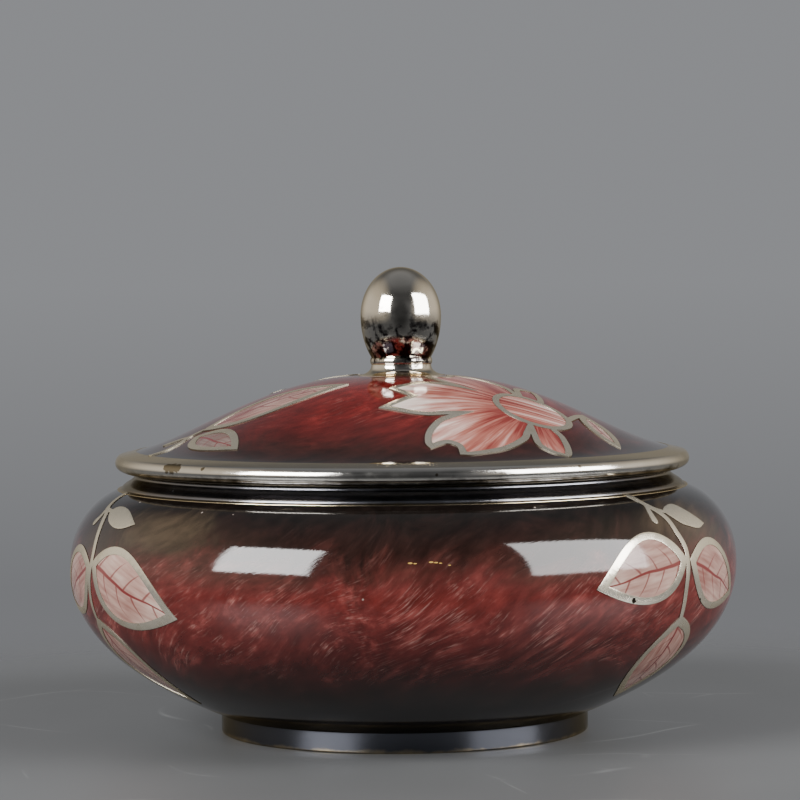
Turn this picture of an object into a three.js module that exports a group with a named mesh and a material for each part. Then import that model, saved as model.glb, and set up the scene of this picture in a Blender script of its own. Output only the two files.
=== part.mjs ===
import * as THREE from 'three';
import { mergeVertices } from 'three/addons/utils/BufferGeometryUtils.js';

// A lidded porcelain bowl on a low foot ring, in two pieces turned on one upright axis.
// Millimetres, +Z up, and the origin is the centre of the foot ring's underside.

// Bowl, outside
const bellyRadius = 82.6;
const bellyHeight = 41.8;
const footRadius = 45.5;
const footHeight = 5;
const footEdge = 0.5;
const shoulderRadius = 69.9;
const shoulderHeight = 60.6;

// Bowl, walls and underside
const bowlWall = 4.2;
const bowlFloor = 5.6;
const footRingWidth = 4;
const footRecess = 3.6;

// Neck, a sloping cove from a narrow step on the shoulder up to the lip that carries the lid
const neckStep = 0.5;
const neckSlopeRun = 3.1;
const neckHeight = 3.6;
const lipHeight = 0.4;
const neckWall = 4.8;

// Lid, rim and walls
const seatGap = 0.3;
const lipReveal = 0.4;
const rimOverhang = 4.3;
const rimWidestHeight = 2.5;
const rimHeight = 4.4;
const rimCrestInset = 1.1;
const rimBandWidth = 4.1;
const rimBandRise = 0.95;
const lidRise = 18.05;
const lidWall = 3.8;
const flangeDepth = 6;
const flangeWall = 3;
const flangeClearance = 0.8;

// Knob, cast in one with the lid
const knobFootRadius = 10.8;
const knobCoveHeight = 2.6;
const knobRingHeight = 1.7;
const knobRingBulge = 0.3;
const waistRadius = 7.4;
const bulbRadius = 10;
const bulbLowerAxis = 15.3;
const bulbUpperAxis = 12.1;

// Facets round the axis
const facets = 56;

// Where the neck and the lid meet
const neckTop = shoulderHeight + neckHeight;
const lipRadius = shoulderRadius - neckStep - neckSlopeRun;
const boreRadius = lipRadius - neckWall;
const lidSeat = neckTop + seatGap;

const point = (radius, height) => new THREE.Vector2(radius, height);

// A curve between two points. Its handles lie at shares of the way, across and up.
function sweep(start, end, leave, arrive) {
  const way = end.clone().sub(start);
  return new THREE.CubicBezierCurve(
    start,
    point(start.x + leave[0] * way.x, start.y + leave[1] * way.y),
    point(end.x - arrive[0] * way.x, end.y - arrive[1] * way.y),
    end
  );
}

// The inner face of a wall whose outside is the curve, run on straight past both of its ends.
function innerFace(curve, steps, wall) {
  const face = [];
  for (let i = 0; i <= steps; i++) {
    const along = curve.getTangent(i / steps);
    const outside = curve.getPoint(i / steps);
    face.push(point(outside.x - wall * along.y, outside.y + wall * along.x));
  }
  const runOn = curve.getLength();
  const before = face[0].clone().addScaledVector(curve.getTangent(0), -runOn);
  const after = face[steps].clone().addScaledVector(curve.getTangent(1), runOn);
  return [before, ...face, after];
}

// The stretch of a line of points where room() is positive, with ends where it reaches zero.
function trimmed(points, room) {
  const kept = [];
  points.forEach((here, i) => {
    const last = points[i - 1];
    if (last && room(last) > 0 !== room(here) > 0) {
      kept.push(last.clone().lerp(here, room(last) / (room(last) - room(here))));
    }
    if (room(here) > 0) kept.push(here);
  });
  return kept;
}

// A quarter or less of an ellipse round the axis, from one level above its centre to another.
function bulb(centre, radius, axis, from, to, steps) {
  const start = Math.asin(from / axis);
  const end = Math.asin(to / axis);
  const arc = [];
  for (let i = 0; i <= steps; i++) {
    const turn = start + (end - start) * i / steps;
    arc.push(point(radius * Math.cos(turn), centre + axis * Math.sin(turn)));
  }
  return arc;
}

// A solid turned from a profile that starts and ends on the axis, outside to the right.
function turned(name, profile, material) {
  const lathe = new THREE.LatheGeometry(profile, facets);
  lathe.deleteAttribute('normal');
  lathe.deleteAttribute('uv');
  const geometry = mergeVertices(lathe);
  geometry.rotateX(Math.PI / 2);
  geometry.computeVertexNormals();
  const mesh = new THREE.Mesh(geometry, material);
  mesh.name = name;
  return mesh;
}

function bowlProfile() {
  const footInner = footRadius - footRingWidth;
  const belly = point(bellyRadius, bellyHeight);
  const shoulderEnd = point(shoulderRadius, shoulderHeight);
  const underside = sweep(point(footRadius, footHeight), belly, [0.98, 0.386], [0, 0.162]);
  const shoulder = sweep(belly, shoulderEnd, [0, 0.638], [0.324, 0.06]);
  const cove = sweep(
    point(shoulderRadius - neckStep, shoulderHeight + neckStep / 2),
    point(lipRadius, neckTop - lipHeight),
    [0, 0.35],
    [0, 0.35]
  );

  const floorTop = footRecess + bowlFloor;
  const lowerInside = trimmed(innerFace(underside, 8, bowlWall), (p) =>
    Math.min(p.y - floorTop, bellyHeight - p.y));
  const upperInside = trimmed(innerFace(shoulder, 6, bowlWall), (p) =>
    Math.min(p.x - boreRadius, p.y - bellyHeight));

  return [
    point(0, footRecess),
    point(footInner, footRecess),
    point(footInner, 0),
    point(footRadius - footEdge, 0),
    point(footRadius, footEdge),
    ...underside.getPoints(10),
    ...shoulder.getPoints(7).slice(1),
    ...cove.getPoints(4),
    point(lipRadius, neckTop),
    point(boreRadius, neckTop),
    ...upperInside.reverse(),
    ...lowerInside.reverse().slice(1),
    point(0, floorTop)
  ];
}

function lidProfile() {
  const flangeRadius = boreRadius - flangeClearance;
  const flangeInner = flangeRadius - flangeWall;
  const rimStart = point(lipRadius + lipReveal, lidSeat);
  const widest = point(rimStart.x + rimOverhang, lidSeat + rimWidestHeight);
  const crest = point(widest.x - rimCrestInset, lidSeat + rimHeight);
  const domeEdge = point(crest.x - rimBandWidth, crest.y + rimBandRise);
  const domeTop = point(knobFootRadius, domeEdge.y + lidRise);
  const rimUnderside = sweep(rimStart, widest, [0.7, 0.05], [0, 0.55]);
  const rimSide = sweep(widest, crest, [0, 0.5], [0.4, 0.1]);
  const dome = sweep(domeEdge, domeTop, [0.262, 0.181], [0.428, 0.049]);

  const ringBottom = domeTop.y + knobCoveHeight;
  const ringTop = ringBottom + knobRingHeight;
  const waistDrop = bulbLowerAxis * Math.sqrt(1 - (waistRadius / bulbRadius) ** 2);
  const bulbCentre = ringTop + waistDrop;
  const cove = sweep(domeTop, point(waistRadius, ringBottom), [0.75, 0.1], [0, 0.5]);

  const ceiling = trimmed(innerFace(dome, 7, lidWall), (p) => Math.min(flangeInner - p.x, p.x));

  return [
    ...ceiling.reverse(),
    point(flangeInner, lidSeat - flangeDepth),
    point(flangeRadius, lidSeat - flangeDepth),
    point(flangeRadius, lidSeat),
    ...rimUnderside.getPoints(4),
    ...rimSide.getPoints(3).slice(1),
    ...dome.getPoints(9),
    ...cove.getPoints(3).slice(1),
    point(waistRadius + knobRingBulge, ringBottom + knobRingHeight / 2),
    ...bulb(bulbCentre, bulbRadius, bulbLowerAxis, -waistDrop, 0, 4),
    ...bulb(bulbCentre, bulbRadius, bulbUpperAxis, 0, bulbUpperAxis, 6).slice(1)
  ];
}

// Crimson glaze over white porcelain, with silver on the foot, neck, rim and knob
const glaze = new THREE.MeshStandardMaterial({
  color: 0x6e1f22,
  roughness: 0.12,
  metalness: 0
});
const lidGlaze = glaze.clone();
lidGlaze.color.set(0x7a2422);

const vessel = new THREE.Group();
vessel.add(turned('bowl', bowlProfile(), glaze));
vessel.add(turned('lid', lidProfile(), lidGlaze));

export default vessel;
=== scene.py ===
"""A lidded porcelain bowl: crimson painted glaze under silver leaves, a flower on the lid.

Lengths below are millimetres until a mesh is finished, and metres in Blender. The turning
axis of bowl and lid is Z, and the front of the bowl faces -Y.
"""

import math

import bmesh
import bpy
from mathutils import Euler, Matrix, Vector
from mathutils.geometry import delaunay_2d_cdt


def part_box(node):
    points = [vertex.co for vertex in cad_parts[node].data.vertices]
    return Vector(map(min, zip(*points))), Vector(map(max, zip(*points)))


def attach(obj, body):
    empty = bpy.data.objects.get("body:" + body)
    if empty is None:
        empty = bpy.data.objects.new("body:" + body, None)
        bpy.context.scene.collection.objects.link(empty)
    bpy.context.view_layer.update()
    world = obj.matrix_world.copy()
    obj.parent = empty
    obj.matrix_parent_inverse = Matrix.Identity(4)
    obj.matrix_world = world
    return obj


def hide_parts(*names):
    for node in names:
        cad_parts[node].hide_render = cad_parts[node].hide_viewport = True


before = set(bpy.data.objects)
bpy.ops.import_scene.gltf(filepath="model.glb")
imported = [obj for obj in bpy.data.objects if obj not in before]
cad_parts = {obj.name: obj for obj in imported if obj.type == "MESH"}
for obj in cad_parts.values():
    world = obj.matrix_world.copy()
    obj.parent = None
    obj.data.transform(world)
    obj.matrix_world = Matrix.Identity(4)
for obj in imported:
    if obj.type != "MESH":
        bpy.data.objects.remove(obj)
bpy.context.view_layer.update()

MM = 0.001

# Camera: where the picture is taken from, with the lens that gives the same outline
CAMERA_AT = (-0.0004, -0.814, 0.1142)
CAMERA_PITCH_DOWN = math.radians(2.294)
CAMERA_ROLL = math.radians(-0.593)
CAMERA_LENS = 147.8


def make_camera():
    data = bpy.data.cameras.new("camera")
    data.lens = CAMERA_LENS
    data.sensor_width = 36.0
    camera = bpy.data.objects.new("camera", data)
    bpy.context.scene.collection.objects.link(camera)
    turn = Euler((math.radians(90) - CAMERA_PITCH_DOWN, 0, 0)).to_matrix()
    turn = turn @ Matrix.Rotation(CAMERA_ROLL, 3, "Z")
    camera.matrix_world = Matrix.LocRotScale(Vector(CAMERA_AT), turn, None)
    bpy.context.scene.camera = camera


make_camera()

# Sizes that come from the frame
bowl_high = Vector(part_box("bowl")[1]) / MM
lid_low, lid_high = [Vector(corner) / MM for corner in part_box("lid")]
NECK_TOP = bowl_high.z
FLANGE_BOTTOM = lid_low.z
RIM_RADIUS = lid_high.x
KNOB_TOP = lid_high.z

# The silver is a coat over the glaze, and the solids' outside is the silver's
GLAZE_SINK = 0.2
SILVER_STEP = 0.1
STEP_LEAN = 0.02

# Bowl
BELLY_RADIUS = bowl_high.x - GLAZE_SINK
BELLY_HEIGHT = 41.8
FOOT_RADIUS = 45.5
FOOT_HEIGHT = 5.0
FOOT_EDGE = 0.5
FOOT_RING_WIDTH = 4.0
FOOT_RECESS = 3.6
RECESS_FILLET = 1.2
BOWL_FLOOR = 9.2
BOWL_WALL = 4.2
SHOULDER_RADIUS = 69.9
SHOULDER_HEIGHT = NECK_TOP - 3.6
NECK_STEP = 0.5
LIP_RADIUS = 66.3
LIP_HEIGHT = 0.4
LIP_EDGE = 0.3
LIP_INSIDE = 1.5
BORE_RADIUS = 61.5

# The foot flares between two depths below its top, and its silver climbs the belly's first steps
FOOT_FLARE = 0.12
FLARE_FROM = 0.6
FLARE_TO = 0.1
FOOT_COAT_STEPS = 4

# The wall ends a little above the floor, and steps in and up from there blend the two
FLOOR_BLEND_RISE = 0.6
FLOOR_BLEND = ((2.2, 0.1), (4.5, 0.0))

# Lid and knob
LID_SEAT = NECK_TOP + 0.3
FLANGE_RADIUS = BORE_RADIUS - 0.8
FLANGE_INNER = FLANGE_RADIUS - 3.0
FLANGE_EDGE = 1.0
RIM_START = RIM_RADIUS - 4.3
RIM_WIDEST_HEIGHT = LID_SEAT + 2.5
CREST_RADIUS = RIM_RADIUS - 1.1
CREST_HEIGHT = LID_SEAT + 4.4
DOME_EDGE_RADIUS = CREST_RADIUS - 4.1
DOME_EDGE_HEIGHT = CREST_HEIGHT + 0.95
DOME_TOP = DOME_EDGE_HEIGHT + 18.05
LID_WALL = 3.8
KNOB_FOOT_RADIUS = 10.8
RING_BOTTOM = DOME_TOP + 2.6
RING_TOP = RING_BOTTOM + 1.7
RING_BULGE = 0.3
WAIST_RADIUS = 7.4
BULB_RADIUS = 10.0
BULB_LOWER_AXIS = 15.3
BULB_UPPER_AXIS = 12.1

# The ceiling is flat in the middle, and ends in steps in and down to the flange
CEILING_MIDDLE = 6.0
CEILING_BLEND_RUN = 1.5
CEILING_BLEND = ((0.3, 0.9), (0.0, 1.8))

TURN_STEPS = 320
MERGE = 1e-3


def sweep(start, end, leave, arrive, steps):
    """Points of a curve whose handles lie at shares of the way between its ends."""
    run, rise = end[0] - start[0], end[1] - start[1]
    first = (start[0] + leave[0] * run, start[1] + leave[1] * rise)
    second = (end[0] - arrive[0] * run, end[1] - arrive[1] * rise)
    points = []
    for i in range(steps + 1):
        t = i / steps
        a, b, c, d = (1 - t) ** 3, 3 * t * (1 - t) ** 2, 3 * t * t * (1 - t), t ** 3
        points.append((
            a * start[0] + b * first[0] + c * second[0] + d * end[0],
            a * start[1] + b * first[1] + c * second[1] + d * end[1],
        ))
    return points


def arc(centre, radii, start, end, steps):
    """Part of an ellipse round a point of the profile, between two turns in degrees."""
    turns = [math.radians(start + (end - start) * i / steps) for i in range(steps + 1)]
    return [(centre[0] + radii[0] * math.cos(t), centre[1] + radii[1] * math.sin(t))
            for t in turns]


def direction(points, i):
    """The unit direction of a line of points at one of them."""
    before, after = points[max(i - 1, 0)], points[min(i + 1, len(points) - 1)]
    run, rise = after[0] - before[0], after[1] - before[1]
    length = math.hypot(run, rise)
    return run / length, rise / length


def inner_face(points, wall):
    """The line one wall further in, when the outside lies to the right of the way along."""
    face = []
    for i, (radius, height) in enumerate(points):
        run, rise = direction(points, i)
        face.append((radius - wall * rise, height + wall * run))
    return face


# The outside curves that the ornament follows
belly = (BELLY_RADIUS, BELLY_HEIGHT)
UNDERSIDE = sweep((FOOT_RADIUS, FOOT_HEIGHT), belly, (0.98, 0.386), (0, 0.162), 60)
SHOULDER = sweep(belly, (SHOULDER_RADIUS, SHOULDER_HEIGHT), (0, 0.638), (0.324, 0.06), 40)
DOME = sweep(
    (DOME_EDGE_RADIUS, DOME_EDGE_HEIGHT), (KNOB_FOOT_RADIUS, DOME_TOP),
    (0.262, 0.181), (0.428, 0.049), 60,
)


class Surface:
    """A turned outside that flat ornament is laid on."""

    def __init__(self, points):
        self.points = points
        self.lengths = [0.0]
        for a, b in zip(points, points[1:]):
            self.lengths.append(self.lengths[-1] + math.dist(a, b))
        self.ways = [direction(points, i) for i in range(len(points))]

    def at(self, length):
        """Radius, height and outward direction at a length along the outside."""
        length = min(max(length, 0.0), self.lengths[-1])
        i = 0
        while self.lengths[i + 1] < length:
            i += 1
        share = (length - self.lengths[i]) / (self.lengths[i + 1] - self.lengths[i])
        mix = [a + (b - a) * share for a, b in zip(
            (*self.points[i], *self.ways[i]), (*self.points[i + 1], *self.ways[i + 1]))]
        return mix[0], mix[1], mix[3], -mix[2]

    def length_at(self, value, place):
        """The length where the radius (place 0) or height (place 1) reaches a value."""
        for i in range(len(self.points) - 1):
            a, b = self.points[i][place], self.points[i + 1][place]
            if min(a, b) <= value <= max(a, b):
                share = (value - a) / (b - a) if b != a else 0
                return self.lengths[i] + share * (self.lengths[i + 1] - self.lengths[i])
        before, after = self.points[0][place], self.points[-1][place]
        return 0.0 if abs(value - before) < abs(value - after) else self.lengths[-1]


BOWL_SIDE = Surface(UNDERSIDE + SHOULDER[1:])
LID_TOP = Surface(DOME)


def on_bowl(azimuth, height):
    """Lays flat millimetres round a point of the bowl's side: x across, y up, z outwards."""
    start = BOWL_SIDE.length_at(height, 1)

    def place(x, y, z):
        radius, level, out, up = BOWL_SIDE.at(start + y)
        turn = math.radians(azimuth) + x / radius
        reach = radius + z * out
        return Vector((reach * math.sin(turn), -reach * math.cos(turn), level + z * up))

    return place


def on_lid(turn_degrees):
    """Lays a plan drawing of the lid, seen from above, on its dome."""
    turned = math.radians(turn_degrees)

    def place(x, y, z):
        plan = math.hypot(x, y)
        _, level, out, up = LID_TOP.at(LID_TOP.length_at(plan, 0))
        turn = math.atan2(y, x) + turned
        reach = plan + z * out
        return Vector((reach * math.cos(turn), reach * math.sin(turn), level + z * up))

    return place


# What the stretches of a profile show, and the places of their materials on a piece
PORCELAIN, PAINTED, BARE, COAT, SECOND_COAT = range(5)
FOOT_INNER = FOOT_RADIUS - FOOT_RING_WIDTH


def bowl_stretches():
    """From the middle of its underside round to the middle of its floor."""
    fillet = RECESS_FILLET
    recess = [
        (0, FOOT_RECESS), (FOOT_INNER / 2, FOOT_RECESS),
        *arc((FOOT_INNER - fillet, FOOT_RECESS - fillet), (fillet, fillet), 90, 0, 5),
        (FOOT_INNER, FOOT_EDGE),
    ]
    ring = [(FOOT_INNER, FOOT_EDGE), (FOOT_INNER + FOOT_EDGE, 0), (FOOT_RADIUS - FOOT_EDGE, 0)]
    foot = [
        *arc((FOOT_RADIUS - FOOT_EDGE, FOOT_EDGE), (FOOT_EDGE, FOOT_EDGE), -90, 0, 4),
        (FOOT_RADIUS, FOOT_HEIGHT - FLARE_FROM),
        (FOOT_RADIUS + FOOT_FLARE, FOOT_HEIGHT - FLARE_TO),
        *BOWL_SIDE.points[1:FOOT_COAT_STEPS + 1],
    ]
    glaze = [p for p in BOWL_SIDE.points[FOOT_COAT_STEPS:] if p[1] < SHOULDER_HEIGHT - 0.12]
    last = glaze[-1]
    step_end = (SHOULDER_RADIUS - NECK_STEP, SHOULDER_HEIGHT + NECK_STEP / 2)
    lip = [
        last, (last[0] - STEP_LEAN, last[1] + SILVER_STEP),
        (SHOULDER_RADIUS - 0.1, SHOULDER_HEIGHT + 0.08),
        *sweep(step_end, (LIP_RADIUS, NECK_TOP - LIP_HEIGHT), (0, 0.35), (0, 0.35), 14),
        *arc((LIP_RADIUS - LIP_EDGE, NECK_TOP - LIP_EDGE), (LIP_EDGE, LIP_EDGE), 0, 90, 4),
        *arc((BORE_RADIUS + LIP_EDGE, NECK_TOP - LIP_EDGE), (LIP_EDGE, LIP_EDGE), 90, 180, 4),
        (BORE_RADIUS, NECK_TOP - LIP_INSIDE),
    ]
    upper = [p for p in inner_face(SHOULDER, BOWL_WALL) if p[0] > BORE_RADIUS]
    lower = [p for p in inner_face(UNDERSIDE, BOWL_WALL)
             if p[1] > BOWL_FLOOR + FLOOR_BLEND_RISE]
    end, before = upper[-1], upper[-2]
    bend = end[1] + (end[0] - BORE_RADIUS) * (end[1] - before[1]) / (before[0] - end[0])
    corner = lower[0]
    inside = [
        (BORE_RADIUS, NECK_TOP - LIP_INSIDE), (BORE_RADIUS, bend), *upper[::-1], *lower[-2::-1],
        *[(corner[0] - run, BOWL_FLOOR + rise) for run, rise in FLOOR_BLEND], (0, BOWL_FLOOR),
    ]
    return [(recess, PORCELAIN), (ring, BARE), (foot, SECOND_COAT), (glaze, PAINTED),
            (lip, COAT), (inside, PORCELAIN)]


def lid_stretches():
    """From the middle of its underside round to the top of its knob."""
    ceiling = [p for p in inner_face(DOME, LID_WALL)
               if CEILING_MIDDLE < p[0] < FLANGE_INNER - CEILING_BLEND_RUN]
    corner = ceiling[0]
    edge = FLANGE_EDGE
    flange = [
        (0, ceiling[-1][1]), *ceiling[::-1],
        *[(FLANGE_INNER - run, corner[1] - drop) for run, drop in CEILING_BLEND],
        *arc((FLANGE_INNER + edge, FLANGE_BOTTOM + edge), (edge, edge), 180, 270, 4),
        *arc((FLANGE_RADIUS - edge, FLANGE_BOTTOM + edge), (edge, edge), 270, 360, 4),
        (FLANGE_RADIUS, LID_SEAT),
    ]
    seat = [(FLANGE_RADIUS, LID_SEAT), (RIM_START, LID_SEAT)]
    widest = (RIM_RADIUS, RIM_WIDEST_HEIGHT)
    rim = [
        *sweep((RIM_START, LID_SEAT), widest, (0.7, 0.05), (0, 0.55), 12),
        *sweep(widest, (CREST_RADIUS, CREST_HEIGHT), (0, 0.5), (0.4, 0.1), 10)[1:],
        (DOME_EDGE_RADIUS, DOME_EDGE_HEIGHT),
        (DOME_EDGE_RADIUS - STEP_LEAN, DOME_EDGE_HEIGHT - SILVER_STEP),
    ]
    glaze = inner_face(DOME, SILVER_STEP)
    glaze[0] = rim[-1]
    cove = sweep((KNOB_FOOT_RADIUS, DOME_TOP), (WAIST_RADIUS, RING_BOTTOM), (0.75, 0.1),
                 (0, 0.5), 12)
    drop = BULB_LOWER_AXIS * math.sqrt(1 - (WAIST_RADIUS / BULB_RADIUS) ** 2)
    centre = (0, RING_TOP + drop)
    low = math.degrees(math.asin(-drop / BULB_LOWER_AXIS))
    knob = [
        glaze[-1], *cove,
        *arc((WAIST_RADIUS, (RING_BOTTOM + RING_TOP) / 2),
             (RING_BULGE, (RING_TOP - RING_BOTTOM) / 2), -90, 90, 8),
        *arc(centre, (BULB_RADIUS, BULB_LOWER_AXIS), low, 0, 24)[1:],
        *arc(centre, (BULB_RADIUS, BULB_UPPER_AXIS), 0, 90, 36)[1:-1], (0, KNOB_TOP),
    ]
    return [(flange, PORCELAIN), (seat, BARE), (rim, COAT), (glaze, PAINTED),
            (knob, SECOND_COAT)]


BOWL_STRETCHES = bowl_stretches()
LID_STRETCHES = lid_stretches()


def stretch_length(stretches, kind):
    """The length of the stretch of a kind, in millimetres."""
    points = [points for points, own in stretches if own == kind][0]
    return sum(math.dist(a, b) for a, b in zip(points, points[1:]))


PAINTED_LENGTH = stretch_length(BOWL_STRETCHES, PAINTED)
NECK_LENGTH = stretch_length(BOWL_STRETCHES, COAT)
FOOT_LENGTH = stretch_length(BOWL_STRETCHES, SECOND_COAT)
RIM_LENGTH = stretch_length(LID_STRETCHES, COAT)
KNOB_LENGTH = stretch_length(LID_STRETCHES, SECOND_COAT)


def finish_mesh(name, bm, materials, sharp=35):
    """Makes a finished piece of a mesh that is in millimetres."""
    bmesh.ops.scale(bm, vec=(MM, MM, MM), verts=bm.verts)
    mesh = bpy.data.meshes.new(name)
    bm.to_mesh(mesh)
    bm.free()
    for material in materials:
        mesh.materials.append(material)
    mesh.shade_smooth()
    mesh.set_sharp_from_angle(angle=math.radians(sharp))
    piece = bpy.data.objects.new(name, mesh)
    bpy.context.scene.collection.objects.link(piece)
    return piece


def turned_piece(name, stretches, materials):
    """Spins a profile round Z. Each stretch is its points and the index of its material.

    An eighth is spun, and copies of it, doubled three times, make up the whole turn.
    """
    bm = bmesh.new()
    reached = bm.verts.layers.float.new("reached")
    along = bm.loops.layers.float.new("along")
    for points, kind in stretches:
        before = set(bm.faces)
        verts = []
        length = 0.0
        for i, (radius, height) in enumerate(points):
            length += math.dist(points[i - 1], points[i]) if i else 0.0
            vert = bm.verts.new((radius, 0, height))
            vert[reached] = length
            verts.append(vert)
        edges = [bm.edges.new(pair) for pair in zip(verts, verts[1:])]
        bmesh.ops.spin(
            bm, geom=verts + edges, cent=(0, 0, 0), axis=(0, 0, 1),
            angle=math.tau / 8, steps=TURN_STEPS // 8,
        )
        for face in set(bm.faces) - before:
            face.material_index = kind
            for loop in face.loops:
                loop[along] = loop.vert[reached]
    for share in (8, 4, 2):
        made = bmesh.ops.duplicate(bm, geom=bm.verts[:] + bm.edges[:] + bm.faces[:])["geom"]
        bmesh.ops.rotate(
            bm, cent=(0, 0, 0), matrix=Matrix.Rotation(math.tau / share, 3, "Z"),
            verts=[part for part in made if isinstance(part, bmesh.types.BMVert)],
        )
    bmesh.ops.remove_doubles(bm, verts=bm.verts, dist=MERGE)
    bmesh.ops.recalc_face_normals(bm, faces=bm.faces)
    return finish_mesh(name, bm, materials)


# Flat drawings, in millimetres

# Two handles of a leaf's side: their share of the way to its tip, and of its width
LEAF_HANDLES = ((0.28, 1.78), (0.72, 0.8))


def leaf(base, tip, left, right, steps=28):
    """A pointed leaf from its base to its tip, so wide to the left and right of its midrib."""
    base, tip = Vector(base), Vector(tip)
    way = tip - base
    side = Vector((-way.y, way.x)).normalized()
    outline = []
    for width, order in ((left, range(steps)), (-right, range(steps, 0, -1))):
        for i in order:
            t = i / steps
            b, c, d = 3 * t * (1 - t) ** 2, 3 * t * t * (1 - t), t ** 3
            forward = LEAF_HANDLES[0][0] * b + LEAF_HANDLES[1][0] * c + d
            across = width * (LEAF_HANDLES[0][1] * b + LEAF_HANDLES[1][1] * c)
            outline.append(base + way * forward + side * across)
    return outline


def spline(knots, steps=6, closed=False):
    """A smooth line through knots. A knot with a third value is a corner."""
    count = len(knots)
    line = []
    for i in range(count if closed else count - 1):
        a, b = knots[i], knots[(i + 1) % count]
        before = knots[i - 1] if closed or i else a
        after = knots[(i + 2) % count] if closed or i + 2 < count else b
        start, end = Vector(a[:2]), Vector(b[:2])
        leave = (end - Vector(before[:2])) / 2 if len(a) == 2 else end - start
        arrive = (Vector(after[:2]) - start) / 2 if len(b) == 2 else end - start
        for step in range(steps):
            t = step / steps
            line.append(
                start * (2 * t ** 3 - 3 * t * t + 1) + leave * (t ** 3 - 2 * t * t + t)
                + end * (3 * t * t - 2 * t ** 3) + arrive * (t ** 3 - t * t))
    if not closed:
        line.append(Vector(knots[-1][:2]))
    return line


def stroke(knots, start, end):
    """A painted line along knots, from one width to another, with a round end."""
    line = spline(knots)
    left, right = [], []
    for i, here in enumerate(line):
        way = (line[min(i + 1, len(line) - 1)] - line[max(i - 1, 0)]).normalized()
        half = (start + (end - start) * i / (len(line) - 1)) / 2
        side = Vector((-way.y, way.x)) * half
        left.append(here + side)
        right.append(here - side)
    way = (line[-1] - line[-2]).normalized()
    side = Vector((-way.y, way.x)) * end / 2
    cap = [line[-1] + side * math.cos(a) + way * (end / 2) * math.sin(a)
           for a in (math.pi / 4, math.pi / 2, 3 * math.pi / 4)]
    return left + cap + right[::-1]


def circle(centre, radius, steps=48):
    """A round outline."""
    return [Vector(centre) + Vector((math.cos(a), math.sin(a))) * radius
            for a in (math.tau * i / steps for i in range(steps))]


def inset(outline, width):
    """The outline an even width further in."""
    bm = bmesh.new()
    face = bm.faces.new([bm.verts.new((p.x, p.y, 0)) for p in outline])
    bm.normal_update()
    bmesh.ops.inset_region(bm, faces=[face], thickness=width, use_boundary=True,
                           use_even_offset=True)
    inner = [v.co.xy.copy() for v in face.verts]
    bm.free()
    return inner


# The silver is a sheet with a soft edge, and the enamel in it a thinner one. Both start under
# the glaze. A leaf's silver outline is one band wide, and more at the leaf's base and tip.
SILVER = "silver"
SILVER_PROUD = 0.18
ENAMEL_PROUD = 0.03
COAT_UNDER = 0.12
EDGE_WIDTH = 0.2
EDGE_DROP = 0.03
BAND = 1.75
BASE_BANDS = 1.6
TIP_BANDS = 2.0
SHEET_SHARP = 50
GRID = 1.2
CLOSE = 1e-4

# The enamels of painted parts, in the order in which a piece lists them
LEAF, PETAL, DUSKY_LEAF = range(3)


def holds(outline, spot):
    """Whether an outline, taken anticlockwise, winds round a spot."""
    turns = 0
    for a, b in zip(outline, outline[1:] + outline[:1]):
        if (a.y <= spot.y) != (b.y <= spot.y):
            left = (b - a).cross(spot - a) > 0
            if left == (b.y > a.y):
                turns += 1 if left else -1
    return turns > 0


class Drawing:
    """Outlines laid over each other, the later over the earlier."""

    def __init__(self):
        self.outlines = []
        self.kinds = []
        self.maps = {}

    def lay(self, outline, kind):
        """Lays an outline, turned the way round that the triangulation wants."""
        area = sum(a.cross(b) for a, b in zip(outline, outline[1:] + outline[:1]))
        self.outlines.append(outline if area > 0 else outline[::-1])
        self.kinds.append(kind)

    def paint(self, outline, paint_map, enamel):
        """A painted part. Its map gives the brush's place from a spot of the drawing."""
        kind = f"paint{len(self.maps)}"
        self.maps[kind] = (paint_map, enamel)
        self.lay(outline, kind)

    def leaf(self, base, tip, left, right, enamel=LEAF):
        """A painted leaf in a silver outline. The map of each leaf starts at its own even number."""
        self.lay(leaf(base, tip, left, right), SILVER)
        base, tip = Vector(base), Vector(tip)
        length = (tip - base).length
        way = (tip - base) / length
        side = Vector((-way.y, way.x))
        number = 2.0 * len(self.maps)

        def along_leaf(spot):
            return (spot - base).dot(way) / length + number, (spot - base).dot(side) / length

        self.paint(leaf(base + way * BAND * BASE_BANDS, tip - way * BAND * TIP_BANDS,
                        left - BAND, right - BAND), along_leaf, enamel)

    def faces(self):
        """The flat pieces that the outlines cut each other into, and what each shows."""
        points, loops = [], []
        for outline in self.outlines:
            loops.append(list(range(len(points), len(points) + len(outline))))
            points += outline
        corners, _, faces, _, _, _ = delaunay_2d_cdt(points, [], loops, 0, CLOSE)
        shown = []
        for face in faces:
            middle = sum((corners[i] for i in face), Vector((0, 0))) / len(face)
            over = [kind for outline, kind in zip(self.outlines, self.kinds)
                    if holds(outline, middle)]
            if over:
                shown.append((face, over[-1]))
        return corners, shown

    def sheet(self, wanted_silver):
        """A flat mesh of the silver or of the painted faces, and the kinds of its faces."""
        corners, shown = self.faces()
        bm = bmesh.new()
        kind_layer = bm.faces.layers.int.new("kind")
        kinds = sorted(self.maps)
        verts = [bm.verts.new((c.x, c.y, 0)) for c in corners]
        for face, kind in shown:
            if (kind == SILVER) == wanted_silver:
                made = bm.faces.new([verts[i] for i in face])
                made[kind_layer] = kinds.index(kind) if kind in kinds else 0
        bmesh.ops.delete(bm, geom=[v for v in bm.verts if not v.link_faces], context="VERTS")
        bm.normal_update()
        return bm, kind_layer, kinds


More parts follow.
